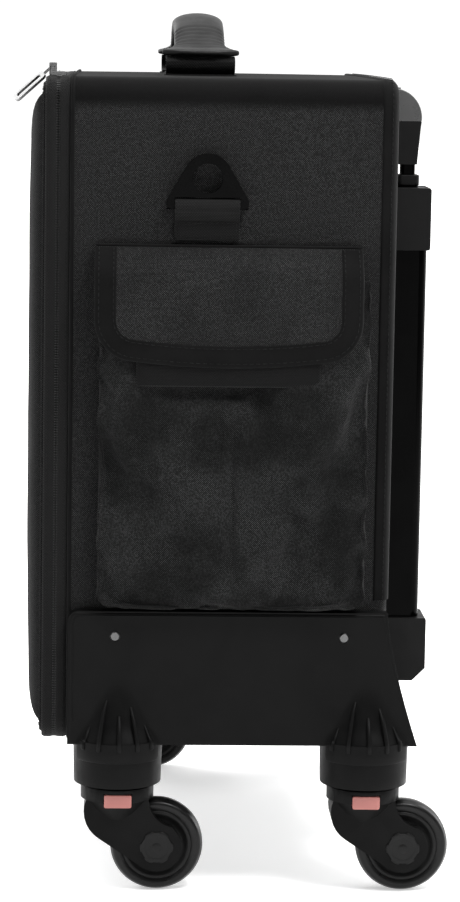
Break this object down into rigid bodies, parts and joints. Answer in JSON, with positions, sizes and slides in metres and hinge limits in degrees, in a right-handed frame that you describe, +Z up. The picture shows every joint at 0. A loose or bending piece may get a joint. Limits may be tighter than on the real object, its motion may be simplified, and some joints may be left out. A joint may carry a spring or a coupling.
{
  "type": "pilot rolling flight case",
  "caption": "Upright soft-sided cabin case with zipped front lid, flapped side pockets, top carry handle, telescoping trolley and swivel casters.",
  "frame": {"origin": "on the floor under the middle of the case's bounding box", "axes": "+Z up, -Y out through the front lid, +Y towards the trolley, +X out of the side that the zip's slider parks at"},
  "size_m": [0.3644, 0.2663, 0.527],
  "materials": {
    "case_fabric": "woven matt nylon",
    "zip_tape": "plain tape",
    "piping": "woven binding",
    "webbing": "woven webbing",
    "ring_plastic": "moulded",
    "grip_plastic": "moulded, soft",
    "guard_plastic": "moulded, fine grain",
    "trolley_plastic": "moulded",
    "cap_plastic": "satin",
    "tube_metal": "dark anodised",
    "zip_metal": "nickel",
    "steel": "zinc plated",
    "axle_cap": "moulded",
    "wheel_rubber": "smooth polyurethane",
    "button_coral": "moulded"
  },
  "bodies": {
    "root": {"top_panel": "case_fabric", "bottom_panel": "case_fabric", "right_panel": "case_fabric", "left_panel": "case_fabric", "back_panel": "case_fabric", "case_zip_band": "zip_tape", "edge_piping": "piping", "right_pocket": "case_fabric", "left_pocket": "case_fabric", "ring_straps": "webbing", "handle_anchors": "webbing", "right_guard": "guard_plastic", "left_guard": "guard_plastic", "guard_rivets": "steel", "upper_bracket": "trolley_plastic", "lower_bracket": "trolley_plastic", "bracket_screws": "steel", "outer_tubes": "tube_metal", "outer_collars": "trolley_plastic", "caster_sockets": "guard_plastic", "caster_stems": "steel", "caster_bearings": "steel"},
    "lid": {"lid_panel": "case_fabric", "lid_zip_band": "zip_tape"},
    "zip_slider": {"zip_slider": "zip_metal"},
    "zip_pull": {"zip_pull": "zip_metal"},
    "right_flap": {"right_flap": "case_fabric"},
    "left_flap": {"left_flap": "case_fabric"},
    "right_ring": {"right_ring": "ring_plastic"},
    "left_ring": {"left_ring": "ring_plastic"},
    "top_handle": {"handle_webbing": "webbing", "handle_grip": "grip_plastic"},
    "trolley_mid": {"middle_tubes": "tube_metal", "middle_collars": "trolley_plastic"},
    "trolley_inner": {"inner_tubes": "tube_metal", "trolley_grip": "trolley_plastic", "grip_cap": "cap_plastic", "button_spring": "steel"},
    "grip_button": {"grip_button": "cap_plastic", "release_rods": "steel"},
    "lock_pins": {"lock_pins": "steel"},
    "caster_fr": {"fork_fr": "guard_plastic", "axle_fr": "axle_cap"},
    "wheel_fr": {"wheel_fr": "wheel_rubber"},
    "button_fr": {"button_fr": "button_coral"},
    "caster_fl": {"fork_fl": "guard_plastic", "axle_fl": "axle_cap"},
    "wheel_fl": {"wheel_fl": "wheel_rubber"},
    "button_fl": {"button_fl": "button_coral"},
    "caster_rr": {"fork_rr": "guard_plastic", "axle_rr": "axle_cap"},
    "wheel_rr": {"wheel_rr": "wheel_rubber"},
    "button_rr": {"button_rr": "button_coral"},
    "caster_rl": {"fork_rl": "guard_plastic", "axle_rl": "axle_cap"},
    "wheel_rl": {"wheel_rl": "wheel_rubber"},
    "button_rl": {"button_rl": "button_coral"}
  },
  "joints": [
    {"name": "lid_hinge", "type": "hinge", "parent": "root", "child": "lid", "pos_m": [-0.1612, -0.107, 0.29], "axis": [0, 0, -1], "range_deg": [0, 120]},
    {"name": "zip_slide", "type": "slide", "parent": "lid", "child": "zip_slider", "axis": [-1, 0, 0], "range_m": [0, 0.27]},
    {"name": "pull_hinge", "type": "hinge", "parent": "zip_slider", "child": "zip_pull", "pos_m": [0.138, -0.1106, 0.4938], "axis": [-1, 0, 0], "range_deg": [0, 130]},
    {"name": "right_flap_hinge", "type": "hinge", "parent": "root", "child": "right_flap", "pos_m": [0.1608, -0.00625, 0.391], "axis": [0, -1, 0], "range_deg": [0, 60]},
    {"name": "left_flap_hinge", "type": "hinge", "parent": "root", "child": "left_flap", "pos_m": [-0.1608, -0.00625, 0.391], "axis": [0, 1, 0], "range_deg": [0, 60]},
    {"name": "right_ring_hinge", "type": "hinge", "parent": "root", "child": "right_ring", "pos_m": [0.1652, -0.0193, 0.414], "axis": [0, 1, 0], "range_deg": [0, 100]},
    {"name": "left_ring_hinge", "type": "hinge", "parent": "root", "child": "left_ring", "pos_m": [-0.1652, -0.0193, 0.414], "axis": [0, -1, 0], "range_deg": [0, 100]},
    {"name": "handle_tilt", "type": "hinge", "parent": "root", "child": "top_handle", "pos_m": [0, -0.0225, 0.5], "axis": [1, 0, 0], "range_deg": [-30, 30], "stiffness_Nm_per_rad": 0.4},
    {"name": "trolley_mid_slide", "type": "slide", "parent": "root", "child": "trolley_mid", "axis": [0, 0, 1], "range_m": [0, 0.24]},
    {"name": "trolley_inner_slide", "type": "slide", "parent": "trolley_mid", "child": "trolley_inner", "axis": [0, 0, 1], "range_m": [0, 0.24]},
    {"name": "grip_button_press", "type": "slide", "parent": "trolley_inner", "child": "grip_button", "axis": [0, 0, -1], "range_m": [0, 0.003], "stiffness_N_per_m": 600, "springref_m": -0.003, "deforming": ["button_spring"]},
    {"name": "lock_pin_slide", "type": "slide", "parent": "trolley_inner", "child": "lock_pins", "axis": [0, 1, 0], "range_m": [0, 0.002]},
    {"name": "swivel_fr", "type": "hinge", "parent": "root", "child": "caster_fr", "pos_m": [0.152, -0.0685, 0.06], "axis": [0, 0, 1], "continuous": true},
    {"name": "swivel_fl", "type": "hinge", "parent": "root", "child": "caster_fl", "pos_m": [-0.152, -0.0685, 0.06], "axis": [0, 0, 1], "continuous": true},
    {"name": "swivel_rr", "type": "hinge", "parent": "root", "child": "caster_rr", "pos_m": [0.152, 0.0803, 0.06], "axis": [0, 0, 1], "continuous": true},
    {"name": "swivel_rl", "type": "hinge", "parent": "root", "child": "caster_rl", "pos_m": [-0.152, 0.0803, 0.06], "axis": [0, 0, 1], "continuous": true},
    {"name": "roll_fr", "type": "hinge", "parent": "caster_fr", "child": "wheel_fr", "pos_m": [0.152, -0.0445, 0.028], "axis": [1, 0, 0], "continuous": true},
    {"name": "roll_fl", "type": "hinge", "parent": "caster_fl", "child": "wheel_fl", "pos_m": [-0.152, -0.0445, 0.028], "axis": [1, 0, 0], "continuous": true},
    {"name": "roll_rr", "type": "hinge", "parent": "caster_rr", "child": "wheel_rr", "pos_m": [0.152, 0.1043, 0.028], "axis": [1, 0, 0], "continuous": true},
    {"name": "roll_rl", "type": "hinge", "parent": "caster_rl", "child": "wheel_rl", "pos_m": [-0.152, 0.1043, 0.028], "axis": [1, 0, 0], "continuous": true},
    {"name": "release_fr", "type": "slide", "parent": "caster_fr", "child": "button_fr", "axis": [-1, 0, 0], "range_m": [0, 0.002], "stiffness_N_per_m": 400, "springref_m": -0.001},
    {"name": "release_fl", "type": "slide", "parent": "caster_fl", "child": "button_fl", "axis": [1, 0, 0], "range_m": [0, 0.002], "stiffness_N_per_m": 400, "springref_m": -0.001},
    {"name": "release_rr", "type": "slide", "parent": "caster_rr", "child": "button_rr", "axis": [-1, 0, 0], "range_m": [0, 0.002], "stiffness_N_per_m": 400, "springref_m": -0.001},
    {"name": "release_rl", "type": "slide", "parent": "caster_rl", "child": "button_rl", "axis": [1, 0, 0], "range_m": [0, 0.002], "stiffness_N_per_m": 400, "springref_m": -0.001}
  ],
  "couplings": [
    {"joint": "lock_pin_slide", "follows": "grip_button_press", "ratio": 0.66}
  ]
}
